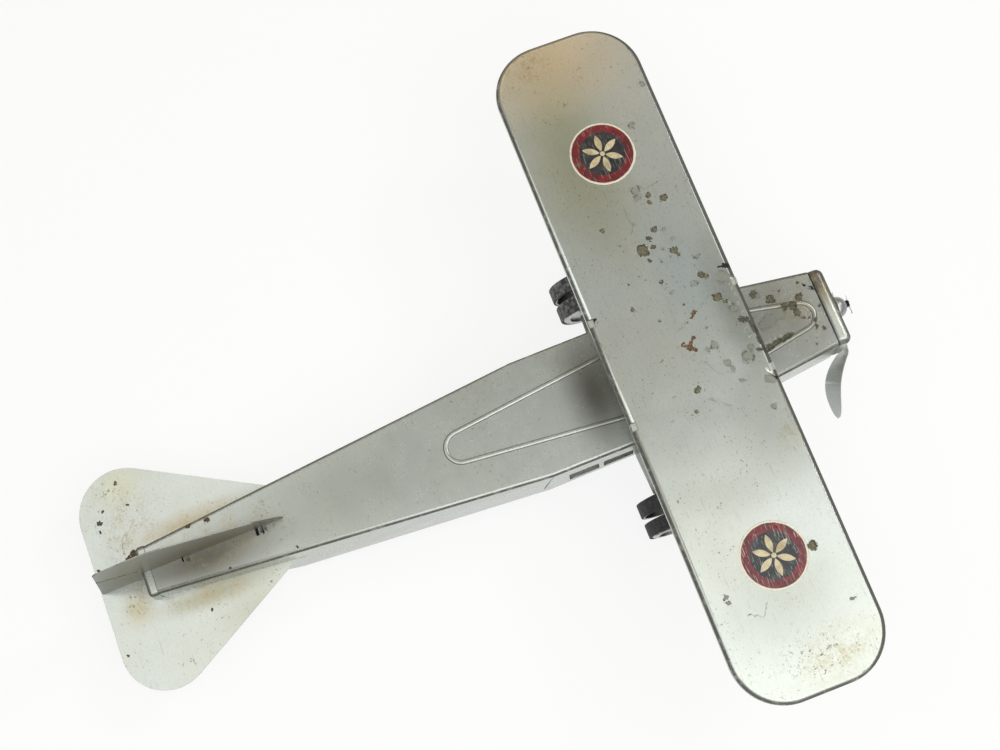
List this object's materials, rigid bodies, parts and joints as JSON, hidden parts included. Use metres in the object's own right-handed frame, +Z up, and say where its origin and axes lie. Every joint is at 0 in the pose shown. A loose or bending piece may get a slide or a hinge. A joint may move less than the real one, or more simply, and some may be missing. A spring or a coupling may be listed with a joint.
{
  "type": "toy airplane",
  "caption": "Pressed steel toy high-wing monoplane with a round-ended wing, twin wheels, tail skid and a turning propeller.",
  "frame": {"origin": "on the floor, under the middle of the object's bounds", "axes": "+Z up from the floor the wheels and the skid stand on, -Y towards the nose, +X towards the port wing tip"},
  "size_m": [0.584, 0.6812, 0.155],
  "materials": {
    "body_steel": "aluminium lacquer, worn",
    "nose_steel": "aluminium lacquer, stained",
    "cap_steel": "aluminium lacquer, stained",
    "wing_steel": "aluminium lacquer, worn, with printed roundels",
    "stabilizer_steel": "aluminium lacquer, worn",
    "fin_steel": "aluminium lacquer, worn",
    "saddle_steel": "aluminium lacquer, worn",
    "belly_steel": "aluminium lacquer, worn",
    "gear_steel": "aluminium lacquer, worn",
    "rivet_steel": "dull",
    "axle_steel": "dull",
    "axle_cap_steel": "satin",
    "washer_steel": "satin",
    "bush_brass": "dull",
    "blade_steel": "aluminium lacquer, worn",
    "spinner_steel": "aluminium lacquer, satin",
    "knot_iron": "black",
    "wheel_steel": "aluminium lacquer, worn",
    "tread_rubber": "matt, worn"
  },
  "bodies": {
    "airframe": {"body_deck": "body_steel", "body_side_port": "body_steel", "body_side_starboard": "body_steel", "belly_plate": "belly_steel", "cabin_saddle": "saddle_steel", "saddle_rivets": "rivet_steel", "nose_cap": "nose_steel", "nose_bush": "bush_brass", "tail_cap": "cap_steel", "wing_panel": "wing_steel", "stabilizer": "stabilizer_steel", "fin_rudder": "fin_steel", "tail_skid": "gear_steel", "skid_rivet": "rivet_steel", "strut_port": "gear_steel", "strut_starboard": "gear_steel", "gear_rivets": "rivet_steel", "axle": "axle_steel", "axle_cap_port": "axle_cap_steel", "axle_cap_starboard": "axle_cap_steel", "washer_port": "washer_steel", "washer_starboard": "washer_steel", "spacer_port": "washer_steel", "spacer_starboard": "washer_steel"},
    "propeller_set": {"propeller": "blade_steel", "prop_washer": "washer_steel", "spinner": "spinner_steel", "prop_shaft": "axle_steel", "wire_knot": "knot_iron"},
    "port_outer_wheel": {"wheel_port_outer": "wheel_steel", "tyre_port_outer": "tread_rubber"},
    "port_inner_wheel": {"wheel_port_inner": "wheel_steel", "tyre_port_inner": "tread_rubber"},
    "starboard_inner_wheel": {"wheel_starboard_inner": "wheel_steel", "tyre_starboard_inner": "tread_rubber"},
    "starboard_outer_wheel": {"wheel_starboard_outer": "wheel_steel", "tyre_starboard_outer": "tread_rubber"}
  },
  "joints": [
    {"name": "propeller_spin", "type": "hinge", "parent": "airframe", "child": "propeller_set", "pos_m": [0, -0.3281, 0.094], "axis": [0, 1, 0], "continuous": true},
    {"name": "port_outer_spin", "type": "hinge", "parent": "airframe", "child": "port_outer_wheel", "pos_m": [0.11425, -0.1419, 0.028], "axis": [1, 0, 0], "continuous": true},
    {"name": "port_inner_spin", "type": "hinge", "parent": "airframe", "child": "port_inner_wheel", "pos_m": [0.09475, -0.1419, 0.028], "axis": [1, 0, 0], "continuous": true},
    {"name": "starboard_inner_spin", "type": "hinge", "parent": "airframe", "child": "starboard_inner_wheel", "pos_m": [-0.09475, -0.1419, 0.028], "axis": [1, 0, 0], "continuous": true},
    {"name": "starboard_outer_spin", "type": "hinge", "parent": "airframe", "child": "starboard_outer_wheel", "pos_m": [-0.11425, -0.1419, 0.028], "axis": [1, 0, 0], "continuous": true}
  ]
}
